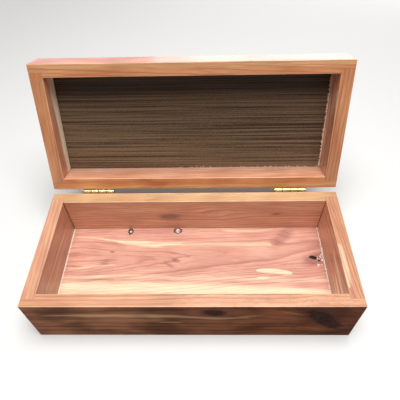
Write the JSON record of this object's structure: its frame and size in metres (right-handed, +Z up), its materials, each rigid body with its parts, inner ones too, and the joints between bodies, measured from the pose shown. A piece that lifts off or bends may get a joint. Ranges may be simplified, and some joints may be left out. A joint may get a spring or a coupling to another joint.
{
  "type": "hinged wooden box",
  "caption": "Long rectangular cedar box with a hinged lid standing open, a dark panel let into the lid, a pale inlaid border and star outside, and small brass butt hinges.",
  "frame": {"origin": "centre of the base's flat underside", "axes": "+X to the right along the box, +Y to the back where the hinges are, +Z up"},
  "size_m": [0.305, 0.2081, 0.1896],
  "materials": {
    "cedar_walls": "red and cream cedar under satin lacquer",
    "cedar_floor": "pink cedar with cream sapwood under glossy lacquer",
    "dark_panel": "dark brown streaky veneer, satin",
    "pale_inlay": "pale even wood, satin",
    "red_inlay": "red-brown wood, satin",
    "brass": "polished, lightly tarnished in the recesses"
  },
  "bodies": {
    "base": {"base_front": "cedar_walls", "base_back": "cedar_walls", "base_left": "cedar_walls", "base_right": "cedar_walls", "base_floor": "cedar_floor", "hinge_left_base_leaf": "brass", "hinge_left_pin": "brass", "hinge_left_base_screw_1": "brass", "hinge_left_base_screw_2": "brass", "hinge_right_base_leaf": "brass", "hinge_right_pin": "brass", "hinge_right_base_screw_1": "brass", "hinge_right_base_screw_2": "brass"},
    "lid": {"lid_front": "cedar_walls", "lid_back": "cedar_walls", "lid_left": "cedar_walls", "lid_right": "cedar_walls", "lid_panel": "dark_panel", "lid_string_back": "pale_inlay", "lid_string_left": "pale_inlay", "lid_string_front": "pale_inlay", "lid_string_right": "pale_inlay", "lid_star_1": "pale_inlay", "lid_star_2": "red_inlay", "lid_star_3": "pale_inlay", "lid_star_4": "red_inlay", "lid_star_5": "pale_inlay", "lid_star_6": "red_inlay", "lid_star_7": "pale_inlay", "lid_star_8": "red_inlay", "hinge_left_lid_leaf": "brass", "hinge_left_lid_screw_1": "brass", "hinge_left_lid_screw_2": "brass", "hinge_right_lid_leaf": "brass", "hinge_right_lid_screw_1": "brass", "hinge_right_lid_screw_2": "brass"}
  },
  "joints": [
    {"name": "lid_hinge", "type": "hinge", "parent": "base", "child": "lid", "pos_m": [0, 0.0686, 0.0632], "axis": [-1, 0, 0], "range_deg": [-110, 70]}
  ]
}
